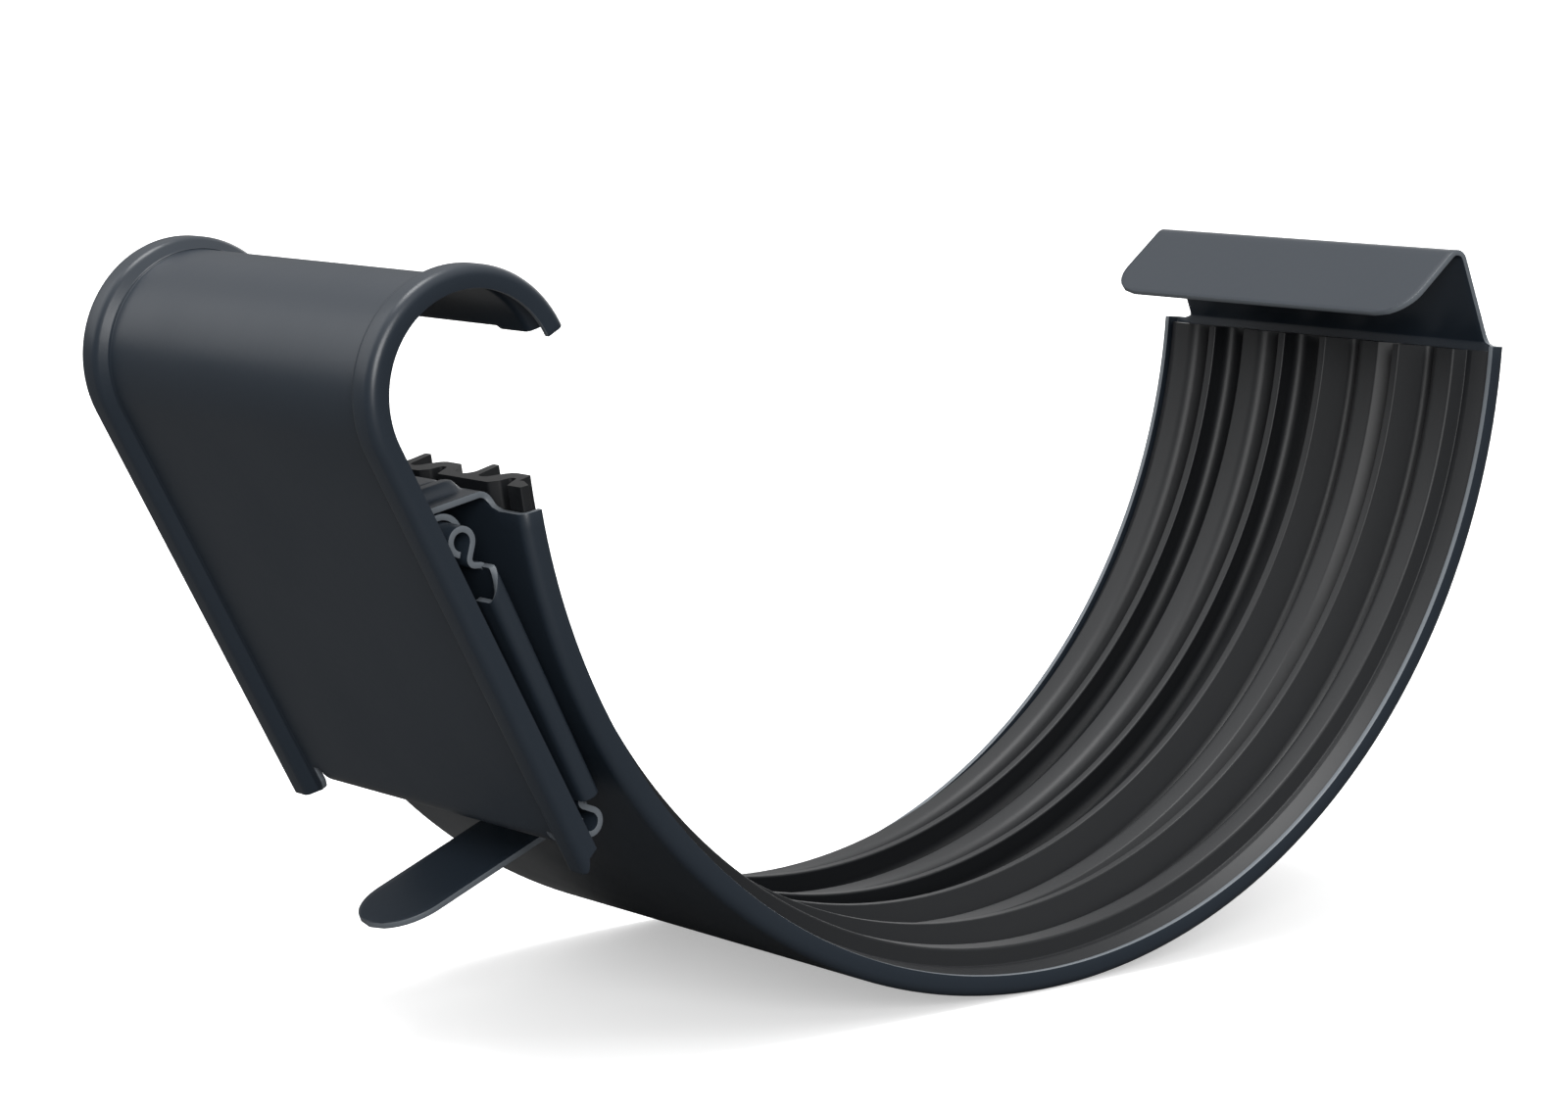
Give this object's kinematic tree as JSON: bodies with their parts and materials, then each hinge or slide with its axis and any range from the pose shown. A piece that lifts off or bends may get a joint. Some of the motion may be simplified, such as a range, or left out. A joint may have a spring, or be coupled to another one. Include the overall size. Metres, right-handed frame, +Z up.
{
  "type": "gutter union",
  "caption": "Half-round gutter union: folded sheet strap with a finned rubber seal, a rear tab and an over-centre latch that hooks on the front bead.",
  "frame": {"origin": "on the axis of the strap's arc, at mid width", "axes": "+X along the gutter, +Y from the latch to the rear tab, +Z up"},
  "size_m": [0.0496, 0.1443, 0.0749],
  "materials": {
    "coated_steel": "satin",
    "seal_rubber": "matte"
  },
  "bodies": {
    "base": {"strap": "coated_steel", "seal": "seal_rubber"},
    "link": {"link": "coated_steel"},
    "clasp": {"clasp": "coated_steel"}
  },
  "joints": [
    {"name": "link_hinge", "type": "hinge", "parent": "base", "child": "link", "pos_m": [0, -0.06868, -0.01448], "axis": [-1, 0, 0], "range_deg": [0, 110]},
    {"name": "clasp_hinge", "type": "hinge", "parent": "link", "child": "clasp", "pos_m": [0, -0.05502, -0.04115], "axis": [1, 0, 0], "range_deg": [0, 66]}
  ],
  "couplings": [
    {"joint": "clasp_hinge", "follows": "link_hinge", "ratio": 0.6}
  ]
}
